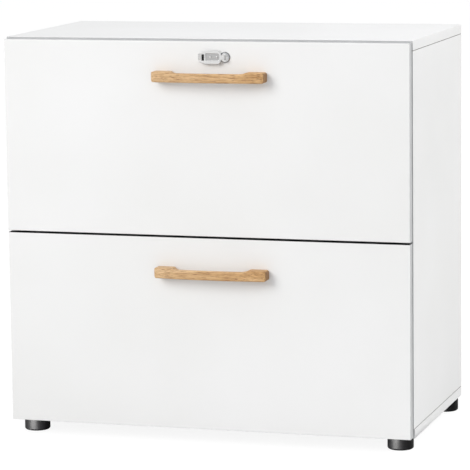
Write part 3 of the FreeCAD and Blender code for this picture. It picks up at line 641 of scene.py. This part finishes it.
def bow_stations(half):
    """Places along the bow, closer together at its rounded ends and at its corners."""
    foot_in = half - handle_foot
    slope_in = foot_in - handle_slope
    ends = [half - handle_end_round * (1 - math.cos(math.radians(turn))) for turn in end_turns]
    spans = [(ends[-1], foot_in, foot_steps), (foot_in, slope_in, slope_steps),
             (slope_in, 0.0, grip_steps)]
    outer = ends + [start + (stop - start) * step / count
                    for start, stop, count in spans for step in range(1, count + 1)]
    return sorted({round(side * x, 7) for x in outer for side in (-1, 1)})


# %% [markdown]
# Neighbouring sections are joined by rings of faces, and the first and the last section
# close the ends. Faces that look along x are cut across the fibres, so they take the end
# grain.

# %% Skin the bows
end_facing = 0.8


def oak_bow(node):
    """Bow of oak, skinned over its cross sections."""
    low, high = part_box(node)
    middle = (low + high) / 2
    half, reach, height = (high.x - low.x) / 2, high.y - low.y, high.z - low.z
    mesh = bmesh.new()
    rings = []
    for x in bow_stations(half):
        ring = rounded_ring(x, *bow_section(x, half, reach, height))
        rings.append([mesh.verts.new(point + Vector((middle.x, high.y, middle.z)))
                      for point in ring])
    for first, second in zip(rings, rings[1:]):
        for here in range(len(first)):
            mesh.faces.new((first[here], first[here - 1], second[here - 1], second[here]))
    mesh.faces.new(rings[0])
    mesh.faces.new(reversed(rings[-1]))
    bmesh.ops.recalc_face_normals(mesh, faces=mesh.faces)
    for face in mesh.faces:
        face.material_index = int(abs(face.normal.x) > end_facing)
    return mesh


for drawer in drawers:
    node = drawer + "_handle"
    made = piece(node + "_bow", oak_bow(node), node, ["oak", "oak_end_grain"])
    print(made.name, len(made.data.polygons), "faces")

# %% [markdown]
# ## Turned pieces
# The feet and the lock's rosette are round, so their true form is a profile turned about an
# axis. Blender's Spin tool or a Screw modifier would do it too. A few lines of mesh code are
# as short, close the poles, and let the profile be read as radii and heights in a list.

# %% Helper for turned pieces
def in_metres(profile):
    """A profile given in millimetres."""
    return [(radius * MM, place * MM) for radius, place in profile]


def turned(profile, centre, axis, sides, ring=False):
    """Turn pairs of a radius and a place along axis y or z; ring closes the profile on itself."""
    first = Vector((1, 0, 0))
    y, z = Vector((0, 1, 0)), Vector((0, 0, 1))
    run, second = (y, z) if axis == "y" else (z, y)
    turns = [math.tau * step / sides for step in range(sides)]
    around = [first * math.cos(turn) + second * math.sin(turn) for turn in turns]
    mesh = bmesh.new()
    rows = []
    for radius, place in profile:
        middle = centre + run * place
        if radius == 0:
            rows.append([mesh.verts.new(middle)] * sides)
            continue
        rows.append([mesh.verts.new(middle + radius * way) for way in around])
    pairs = list(zip(rows, rows[1:])) + ([(rows[-1], rows[0])] if ring else [])
    for upper, lower in pairs:
        for here in range(sides):
            corners = [upper[here - 1], upper[here], lower[here], lower[here - 1]]
            mesh.faces.new(list(dict.fromkeys(corners)))
    bmesh.ops.recalc_face_normals(mesh, faces=mesh.faces)
    return mesh


# %% [markdown]
# A foot's pad has a bore for its stem, with a chamfer at its mouth, and rounded rims: a
# large radius below, where it slides over a floor, and a smaller one above. The solid has
# flat sides there, which would show as facets in the gleam on black plastic.

# %% Feet
stem_radius = 4.9 * MM
pad_sides = 72
pad_profile = [(0, -13), (4.96, -13), (4.96, -0.4), (5.4, 0), (22.4, 0), (23.2, -0.3),
               (24.2, -1.2), (24.8, -2.2), (25, -3.4), (25, -21.2), (24.8, -22.3),
               (24.3, -23.1), (23.4, -24.0), (22.5, -24.7), (21.5, -25), (0, -25)]
feet = [row + "_" + side for row in ("front", "rear") for side in ("left", "right")]
for foot in feet:
    low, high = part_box(foot + "_foot_pad")
    centre = Vector(((low.x + high.x) / 2, (low.y + high.y) / 2, high.z))
    pad = turned(in_metres(pad_profile), centre, "z", pad_sides)
    made = piece(foot + "_foot_pad_turned", pad, foot + "_foot_pad", sharp=35)
print("Feet stand", round(high.z / MM, 1), "mm high")

# %% [markdown]
# The lock's housing is a tube with a rosette at its front, so its profile is a ring that
# closes on itself. The rosette's sloping rim takes the darker finish, a painted reflection.

# %% Rosette and barrel of the lock
low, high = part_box("lock_housing")
lock_middle = Vector(((low.x + high.x) / 2, low.y, (low.z + high.z) / 2))
tail = (high.y - low.y) / MM
rosette_profile = [(5.5, 0.5), (5.9, 0.05), (6.2, 0), (8.3, 0), (8.5, 0.05), (8.8, 0.22),
                   (9.9, 1.2), (10.22, 1.55), (10.3, 1.75), (10.3, 2), (8.5, 2),
                   (8.5, tail - 0.5), (8.1, tail), (5.5, tail)]
lock_sides = 64
rim_start, rim_end, rim_inside = 0.1 * MM, 1.95 * MM, 8.6 * MM
rosette = turned(in_metres(rosette_profile), lock_middle, "y", lock_sides, ring=True)
# Faces of the sloping rim take the painted dark reflection.
for face in rosette.faces:
    depth = face.calc_center_median().y - lock_middle.y
    outside = (face.calc_center_median() - lock_middle).xz.length
    face.material_index = int(rim_start < depth < rim_end and outside > rim_inside)
made = piece("lock_rosette_and_barrel", rosette, "lock_housing", ["lock_chrome", "lock_rim_painted_reflection"],
             sharp=35)
print(made.name, len(made.data.polygons), "faces")

# %% [markdown]
# ## Folding key and small fittings
# The key, the nut and the cam are stamped or cast and then tumbled, and the key's insert
# leaves its mould just as soft: all their edges are rounded by 0.3 to 0.5 mm. That rounding
# catches the light and makes a small metal piece read as metal, so each gets a bevelled copy.

# %% Tumbled edges
tumbled = {"key_blade": 0.3, "key_insert": 0.4, "lock_nut": 0.5, "lock_cam": 0.3}
for node, width in tumbled.items():
    mesh = merged(node)
    bevel(mesh, sharp_edges(mesh), width * MM)
    made = piece(node + "_tumbled", mesh, node)
    print(made.name, len(made.data.polygons), "faces")

# %% [markdown]
# The flat of the bow has a pocket with two bosses. On the real key it is blasted while the
# rim round it is polished, so it is duller; its darker grey is painted shade of the recess.
# The pocket is found by its place on the bow: every face that lies a little behind the bow's
# front, away from its rim.

# %% Bow of the key
bow_edge = 0.4 * MM
low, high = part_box("key_bow")
mesh = merged("key_bow")
bevel(mesh, sharp_edges(mesh), bow_edge)
start = Vector((lock_middle.x, low.y, lock_middle.z))
pocket_low = start + Vector((-35.8, 0.25, -6.2)) * MM
pocket_high = start + Vector((-8.8, 1.7, 8.2)) * MM
# Faces in the pocket take its painted shade.
for face in mesh.faces:
    middle = face.calc_center_median()
    inside = all(a <= value <= b for value, a, b in zip(middle, pocket_low, pocket_high))
    face.material_index = int(inside)
made = piece("key_bow_tumbled", mesh, "key_bow", ["key_nickel", "key_pocket_painted_shade"])
pocket_faces = sum(face.material_index for face in made.data.polygons)
print(made.name, pocket_faces, "faces in the pocket")

# %% [markdown]
# ## Rolled rails and folded sheet
# The runners are strip steel, rolled to channels, and the drawer sides are folded sheet.
# Neither can have a sharp edge along its length: a roll leaves a radius, and a cut edge is
# deburred. The bevel goes on the long edges only, as the ends are sheared off square.

# %% Softened steel
long_edge = 50 * MM


def runs_deep(edge):
    """True for a long edge that runs from front to back."""
    first, second = (vert.co for vert in edge.verts)
    return abs(first.y - second.y) > long_edge and (first - second).xz.length < hair


steel = {"cabinet_rails": 0.35, "middle_rails": 0.35, "drawer_rails": 0.35,
         "drawer_left_side": 0.3, "drawer_right_side": 0.3, "file_rails": 0.5}
for drawer in drawers:
    for kind, width in steel.items():
        node = drawer + "_" + kind
        mesh = merged(node)
        bevel(mesh, sharp_edges(mesh, runs_deep), width * MM)
        made = piece(node + "_rolled", mesh, node)
    print(drawer.capitalize(), "drawer: softened", len(steel), "kinds of steel piece")

# %% [markdown]
# ## Screws and bumpers
# Screws of one kind are all alike, so each kind is shaped once and then set at every place
# where the CAD has one. The places lie in no even row, so an Array modifier can't do it, and
# copies made by hand would not follow a later change. A Geometry Nodes tree can do it: it
# takes loose points, each with the direction in which its screw looks, and sets the shape
# on every point.

# %% Tree that sets a shape on points
def new_tree(name, inputs):
    """Geometry Nodes tree with a geometry in and out, and these other inputs."""
    tree = bpy.data.node_groups.new(name, "GeometryNodeTree")
    tree.is_modifier = True
    for way in ("INPUT", "OUTPUT"):
        tree.interface.new_socket("Geometry", in_out=way, socket_type="NodeSocketGeometry")
    for label, kind in inputs.items():
        tree.interface.new_socket(label, in_out="INPUT", socket_type="NodeSocket" + kind)
    return tree, add(tree, "NodeGroupInput").outputs


def close_tree(tree, geometry, material):
    """End a tree: instances become real, then take the finish."""
    real = add(tree, "GeometryNodeRealizeInstances", {"Geometry": geometry})
    dressed = add(tree, "GeometryNodeSetMaterial", {
        "Geometry": real.outputs[0], "Material": material})
    add(tree, "NodeGroupOutput", {"Geometry": dressed.outputs[0]})


def grown(name, data, tree, values):
    """Plain mesh that a tree makes out of a mesh; values are the tree's inputs by name."""
    holder = placed(name, data)
    modifier = holder.modifiers.new(name, "NODES")
    modifier.node_group = tree
    for item in tree.interface.items_tree:
        if item.name in values:
            modifier[item.identifier] = values[item.name]
    graph = bpy.context.evaluated_depsgraph_get()
    mesh = bpy.data.meshes.new_from_object(holder.evaluated_get(graph))
    bpy.data.objects.remove(holder)
    return mesh


set_on_points, start = new_tree("set_on_points", {"Shape": "Object", "Finish": "Material"})
outward = add(set_on_points, "GeometryNodeInputNamedAttribute", {"Name": "outward"},
              data_type="FLOAT_VECTOR")
turn = add(set_on_points, "FunctionNodeAlignRotationToVector",
           {"Vector": outward.outputs["Attribute"]}, axis="Z")
shape = add(set_on_points, "GeometryNodeObjectInfo", {"Object": start["Shape"]})
copies = add(set_on_points, "GeometryNodeInstanceOnPoints", {
    "Points": start["Geometry"], "Instance": shape.outputs["Geometry"],
    "Rotation": turn.outputs[0]})
close_tree(set_on_points, copies.outputs[0], start["Finish"])
print("Tree:", set_on_points.name, "with", len(set_on_points.nodes), "nodes")

# %% [markdown]
# A screw is a stack of rings: a shank whose radius rises and falls as its thread does, the
# head's profile, and the cross of its recess. The cross is a ring of corners in the outline
# of a cross, let down into the head. A boolean could cut it, but it would leave long thin
# faces, and one stack of rings is closed by itself. A bumper is a turned drop of plastic.

# %% Shapes of the screws and of a bumper
screw_radius = 1.9
thread_step = 0.6
thread_depth = 0.4
tip_radius = 0.8
tip_length = 0.7
plain_length = 1
cross_half_width = 0.52
cross_floor = 0.6
cross_corners = (0, 14, 30, 45, 60, 76)
cross_turns = [math.radians(quarter + turn)
               for quarter in range(0, 360, 90) for turn in cross_corners]


def cross_reach(turn, arm):
    """Distance from the middle of a cross to its outline, in a direction."""
    near = (turn + math.pi / 4) % (math.pi / 2) - math.pi / 4
    return min(arm / math.cos(near), cross_half_width / max(abs(math.sin(near)), 0.001))


def screw(head, length, arm, depth):
    """Screw along z with its seat at 0. The head is a list of radii and heights in mm."""
    count = int((length - plain_length) / thread_step)
    rows = [(tip_radius, -length)]
    rows += [(screw_radius - thread_depth * (step % 2), thread_step * step - length + tip_length)
             for step in range(count)]
    rows += [(screw_radius, 0)] + head
    rings = [[(radius, turn, height) for turn in cross_turns] for radius, height in rows]
    top = head[-1][1]
    for share, height in ((1.0, top), (cross_floor, top - depth)):
        rings.append([(share * cross_reach(turn, arm), turn, height) for turn in cross_turns])
    mesh = bmesh.new()
    loops = [[mesh.verts.new(
        Vector((radius * math.cos(turn), radius * math.sin(turn), height)) * MM)
        for radius, turn, height in ring] for ring in rings]
    for lower, upper in zip(loops, loops[1:]):
        for here in range(len(cross_turns)):
            mesh.faces.new((lower[here - 1], lower[here], upper[here], upper[here - 1]))
    mesh.faces.new(reversed(loops[0]))
    mesh.faces.new(loops[-1])
    bmesh.ops.recalc_face_normals(mesh, faces=mesh.faces)
    return mesh


bumper_sides = 24
pan_head = [(3.95, 0), (4.0, 0.15), (3.98, 0.9), (3.8, 1.4), (3.4, 1.85), (2.8, 2.15), (2.4, 2.2)]
flush_head = [(3.5, 0), (3.6, 0.12), (3.6, 0.8), (3.4, 1.0), (2.4, 1.0)]
bumper_profile = [(0, 1.5), (1.6, 1.47), (3.0, 1.3), (3.9, 0.95), (4.4, 0.45), (4.5, 0.1),
                  (4.4, 0), (0, 0)]
print("A pan head is", pan_head[-1][1], "mm high, a flush head", flush_head[-1][1])

# %% [markdown]
# A screw's place comes from its CAD solid. The screws of the drawers look to the back, and
# those of the carcass look inwards: the rails' screws to the middle of the cabinet, and the
# keeper's down. The bumpers look to the back too, where they meet the carcass.

# %% Seats of the screws and of the bumpers
def seats(node, head_height):
    """Points at a node's seats, each with its outward direction, and the shank's length in mm."""
    found = []
    for low, high in solids_of(node):
        size = high - low
        if node != "carcass_screws":
            outward = Vector((0, 1, 0))
        elif size.z > size.x:
            outward = Vector((0, 0, -1))
        else:
            outward = Vector((-1 if low.x > 0 else 1, 0, 0))
        length = abs(size.dot(outward))
        seat = (low + high) / 2 + outward * (length / 2 - head_height * MM)
        found.append((seat, outward, length / MM - head_height))
    data = bpy.data.meshes.new(node + "_seats")
    data.from_pydata([seat for seat, outward, length in found], [], [])
    directions = data.attributes.new("outward", "FLOAT_VECTOR", "POINT")
    for index, (seat, outward, length) in enumerate(found):
        directions.data[index].vector = outward
    return data, found[0][2]


pan_cross, flush_cross, cross_depth = 2.1, 1.9, 1.5
fasteners = {"carcass_screws": (flush_head, flush_cross), "cam_screw": (pan_head, pan_cross)}
for drawer in drawers:
    fasteners[drawer + "_drawer_screws"] = (pan_head, pan_cross)
    fasteners[drawer + "_handle_screws"] = (pan_head, pan_cross)
    fasteners[drawer + "_front_bumpers"] = (None, 0)
print("Kinds of fastener:", len(fasteners))

# %% [markdown]
# Each kind is shaped once, as an object that the tree can read, and set on its seats. The
# shape itself is then thrown away, so that it isn't taken for a piece of the cabinet.

# %% Set the screws and the bumpers
for node, (head, arm) in fasteners.items():
    points, length = seats(node, head[-1][1] if head else bumper_profile[0][1])
    if head:
        solid = screw(head, length, arm, cross_depth)
    else:
        solid = turned(in_metres(bumper_profile), Vector(), "z", bumper_sides)
    shape = bpy.data.objects.new("shape", as_data("shape", solid))
    values = {"Shape": shape, "Finish": finishes[slot_of[node]]}
    made = piece(node + "_shaped", grown(node, points, set_on_points, values), node, sharp=40)
    print(made.name, len(points.vertices), "copies,", len(made.data.polygons), "faces")
    bpy.data.objects.remove(shape)

# %% [markdown]
# ## Balls of the runners
# Between the rails run rows of steel balls, held apart by a plastic cage. The CAD has the
# cages but no balls. They are the plainest case for Geometry Nodes: a point for the start of
# each row, a line of points from there, and a ball on every point. There are over a
# hundred of them, so a ball has few faces, and its smooth shading hides that.

# %% Tree for rows of balls
ball_rows, start = new_tree("ball_rows", {
    "Balls in a row": "Int", "Ball pitch": "Float", "Ball radius": "Float", "Finish": "Material"})
pitch = add(ball_rows, "ShaderNodeCombineXYZ", {"Y": start["Ball pitch"]})
line = add(ball_rows, "GeometryNodeMeshLine", {
    "Count": start["Balls in a row"], "Offset": pitch.outputs[0]})
rows = add(ball_rows, "GeometryNodeInstanceOnPoints", {
    "Points": start["Geometry"], "Instance": line.outputs[0]})
spots = add(ball_rows, "GeometryNodeRealizeInstances", {"Geometry": rows.outputs[0]})
ball = add(ball_rows, "GeometryNodeMeshUVSphere", {
    "Segments": 10, "Rings": 6, "Radius": start["Ball radius"]})
balls = add(ball_rows, "GeometryNodeInstanceOnPoints", {
    "Points": spots.outputs[0], "Instance": ball.outputs[0]})
close_tree(ball_rows, balls.outputs[0], start["Finish"])
print("Tree:", ball_rows.name, "with", len(ball_rows.nodes), "nodes")

# %% [markdown]
# Each cage is one strip with a row of balls at its lower edge and one at its upper edge.
# The rows ride with their cage, which moves at its own share of the drawer's travel.

# %% Rows of balls
ball_radius = 1.6 * MM
ball_count = 8
row_inset = 9 * MM
strip_half = 1.34 * MM
cage_nodes = [drawer + row + "_ball_cages" for drawer in drawers for row in ("_outer", "_inner")]
for cages in cage_nodes:
    starts = []
    for low, high in solids_of(cages):
        x = (low.x + high.x) / 2
        starts += [(x, low.y + row_inset, z) for z in (low.z + strip_half, high.z - strip_half)]
    points = bpy.data.meshes.new(cages + "_starts")
    points.from_pydata(starts, [], [])
    row_length = high.y - low.y - 2 * row_inset
    mesh = grown(cages, points, ball_rows, {
        "Balls in a row": ball_count, "Ball pitch": row_length / (ball_count - 1),
        "Ball radius": ball_radius, "Finish": finishes["ball_steel"]})
    made = piece(cages.replace("ball_cages", "balls"), mesh, cages, stands_for=False, sharp=180)
    print(made.name, len(made.data.polygons), "faces")

# %% [markdown]
# ## Threads of the feet
# A stem is a threaded rod, and its thread shows when the foot is let down. The thread is a
# ridge that follows a spiral. The CAD stem, drawn in to the root of the thread, keeps its
# slot for the screwdriver and serves as the core. The tree winds the ridge round it.

# %% Tree that winds a ridge
wound_ridge, start = new_tree("wound_ridge", {
    "Place": "Vector", "Thread radius": "Float", "Thread turns": "Float",
    "Thread length": "Float", "Ridge": "Float", "Finish": "Material"})
coil = add(wound_ridge, "GeometryNodeCurveSpiral", {
    "Resolution": 20, "Rotations": start["Thread turns"], "Start Radius": start["Thread radius"],
    "End Radius": start["Thread radius"], "Height": start["Thread length"]})
upright = add(wound_ridge, "GeometryNodeSetCurveNormal", {"Curve": coil.outputs[0]}, mode="Z_UP")
section = add(wound_ridge, "GeometryNodeCurvePrimitiveCircle", {
    "Resolution": 4, "Radius": start["Ridge"]})
ridge = add(wound_ridge, "GeometryNodeCurveToMesh", {
    "Curve": upright.outputs[0], "Profile Curve": section.outputs[0], "Fill Caps": True})
wound = add(wound_ridge, "GeometryNodeTransform", {
    "Geometry": ridge.outputs[0], "Translation": start["Place"]})
together = add(wound_ridge, "GeometryNodeJoinGeometry", {"Geometry": start["Geometry"]})
wound_ridge.links.new(wound.outputs[0], together.inputs[0])
close_tree(wound_ridge, together.outputs[0], start["Finish"])
print("Tree:", wound_ridge.name, "with", len(wound_ridge.nodes), "nodes")

# %% [markdown]
# The parts of the core that stand out past the thread's root are drawn in to it, and all
# else stays. The ridge starts one pitch from the lower end and stops short of the upper
# end, as a die leaves it.

# %% Threaded stems
thread_root = 4.4 * MM
thread_pitch = 1.5 * MM
thread_stop = 0.7 * thread_pitch
for foot in feet:
    node = foot + "_foot_stem"
    low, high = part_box(node)
    axis = (low + high) / 2
    core = merged(node)
    for vert in core.verts:
        arm = (vert.co - axis).xy
        if arm.length > thread_root:
            vert.co.xy = axis.xy + arm * (thread_root / stem_radius)
    bottom = low.z + thread_pitch
    length = high.z - thread_stop - bottom
    mesh = grown(node, as_data(node + "_core", core), wound_ridge, {
        "Place": (axis.x, axis.y, bottom), "Thread radius": thread_root,
        "Thread turns": length / thread_pitch, "Thread length": length,
        "Ridge": stem_radius - thread_root, "Finish": finishes[slot_of[node]]})
    made = piece(node + "_threaded", mesh, node, sharp=30)
print(made.name, len(made.data.polygons), "faces")

# %% [markdown]
# ## Camera
# The picture was taken with a long lens from the right of the cabinet and a little above it.
# Ten corners of the cabinet, found in the picture, fix the place, the turn and the lens:
# these numbers are that fit. The lens is given for a sensor 36 mm wide.

# %% Camera
sensor_width, lens, sight_range = 36.0, 210.9, 60.0
camera_place = (1.560, -5.12035, 1.1717)
yaw, pitch, roll = 0.2962, 0.1479, 0.0128
camera = placed("camera", bpy.data.cameras.new("camera"))
bpy.context.scene.camera = camera
camera.data.sensor_width = sensor_width
camera.data.lens = lens
camera.data.clip_end = sight_range
ahead = Vector((-math.sin(yaw) * math.cos(pitch), math.cos(yaw) * math.cos(pitch),
                -math.sin(pitch)))
level = Vector((math.cos(yaw), math.sin(yaw), 0))
down = ahead.cross(level)
across = level * math.cos(roll) + down * math.sin(roll)
below = down * math.cos(roll) - level * math.sin(roll)
turned_to = Matrix((across, -below, -ahead)).transposed().to_4x4()
camera.matrix_world = Matrix.Translation(camera_place) @ turned_to
print("Camera looks", round(math.degrees(pitch), 1), "degrees down")

# %% [markdown]
# ## Floor
# The cabinet stands in a white studio, and the floor runs into the background with no
# edge. What the camera sees of them is nearly pure white. For the light on the cabinet the
# floor is plain pale paper. A single material would be either too dark to the eye or too
# bright a lamp from below, so the Light Path node parts the two.

# %% Floor
floor_grey, floor_glow = 0.16, 0.9
tree, shader = finish("studio_floor", Roughness=0.9, Specular_IOR_Level=0.0)
tree.links.new(drift(tree, lumps(tree, 40), 0.60, 0.64), shader.inputs["Base Color"])
pale = add(tree, "ShaderNodeBsdfDiffuse", {"Color": (floor_grey, floor_grey, floor_grey, 1)})
glow = add(tree, "ShaderNodeEmission", {"Strength": floor_glow})
bright = add(tree, "ShaderNodeAddShader", {0: pale.outputs[0], 1: glow.outputs[0]})


def seen_apart(tree, plain, seen, output):
    """Join one shader for the light on the cabinet and another for the camera's own view."""
    path = add(tree, "ShaderNodeLightPath")
    both = add(tree, "ShaderNodeMixShader", {
        0: path.outputs["Is Camera Ray"], 1: plain.outputs[0], 2: seen.outputs[0]})
    tree.links.new(both.outputs[0], tree.nodes[output].inputs["Surface"])


seen_apart(tree, shader, bright, "Material Output")
wide = 14.0
data = bpy.data.meshes.new("floor")
data.from_pydata([(-wide, -wide, 0), (wide, -wide, 0), (wide, wide, 0), (-wide, wide, 0)],
                 [], [(0, 1, 2, 3)])
data.materials.append(finishes["studio_floor"])
floor = placed("floor", data)
print("The floor is", 2 * wide, "m wide")

# %% [markdown]
# ## Light
# The room is bright before, behind and above the cabinet but dimmer at its sides, so that
# polished metal has something dark to mirror. A panorama of a studio would do the same, but
# a ramp over the direction needs no file, and its two tones can be set by eye.

# %% Room
room_strength, backdrop_strength = 0.78, 1.05
world = bpy.data.worlds.new("studio")
bpy.context.scene.world = world
world.use_nodes = True
tree = world.node_tree
towards = add(tree, "ShaderNodeTexCoord").outputs["Generated"]
heading = add(tree, "ShaderNodeSeparateXYZ", {"Vector": towards})
sideways = add(tree, "ShaderNodeMath", {0: heading.outputs["X"]}, operation="ABSOLUTE")
bright_wall, dim_wall = (0.98, 0.99, 1.01, 1.0), (0.34, 0.35, 0.36, 1.0)
room = along(tree, sideways.outputs[0], (0.25, bright_wall), (0.9, dim_wall))
light = add(tree, "ShaderNodeBackground", {"Color": room, "Strength": room_strength})
backdrop = add(tree, "ShaderNodeBackground", {
    "Color": (1, 1, 1, 1), "Strength": backdrop_strength})
seen_apart(tree, light, backdrop, "World Output")
print("Room:", world.name)

# %% [markdown]
# The handles' shadows in the picture reach to the right and down, so the main lamp stands
# high at the left. A second one at the right lifts the side and the top. Both stand well
# away, so that each face is lit evenly. The black feet show a broad grey gleam that the
# front above them lacks. A photographer hides a low strip lamp from the front with a flag,
# and light linking does the same here: the strip lights the feet alone.

# %% Lamps
lamp_colour = (1.0, 0.99, 0.975)


def softbox(name, place, width, height, power, aim=(0, 0, 0.4)):
    """Soft rectangular lamp that looks at a point and is itself not seen."""
    lamp = bpy.data.lights.new(name, "AREA")
    lamp.shape = "RECTANGLE"
    lamp.size = width
    lamp.size_y = height
    lamp.energy = power
    lamp.color = lamp_colour
    made = placed(name, lamp)
    made.location = place
    made.rotation_euler = (Vector(aim) - Vector(place)).to_track_quat("-Z", "Y").to_euler()
    made.visible_camera = False
    return made


softbox("front_softbox", place=(-4.45, -5.72, 4.16), width=4.2, height=4.2, power=406.0)
softbox("side_softbox", place=(4.4, 0.5, 3.5), width=3.0, height=3.0, power=173.0)
strip = softbox("foot_strip", place=(-1.1, -2.55, 0.15), width=2.4, height=0.25, power=780.0,
                aim=(0, -0.2, 0.02))
flagged = bpy.data.collections.new("lit_by_strip")
for foot in feet:
    flagged.objects.link(bpy.data.objects[foot + "_foot_pad_turned"])
strip.light_linking.receiver_collection = flagged
bpy.context.scene.view_settings.view_transform = "Standard"
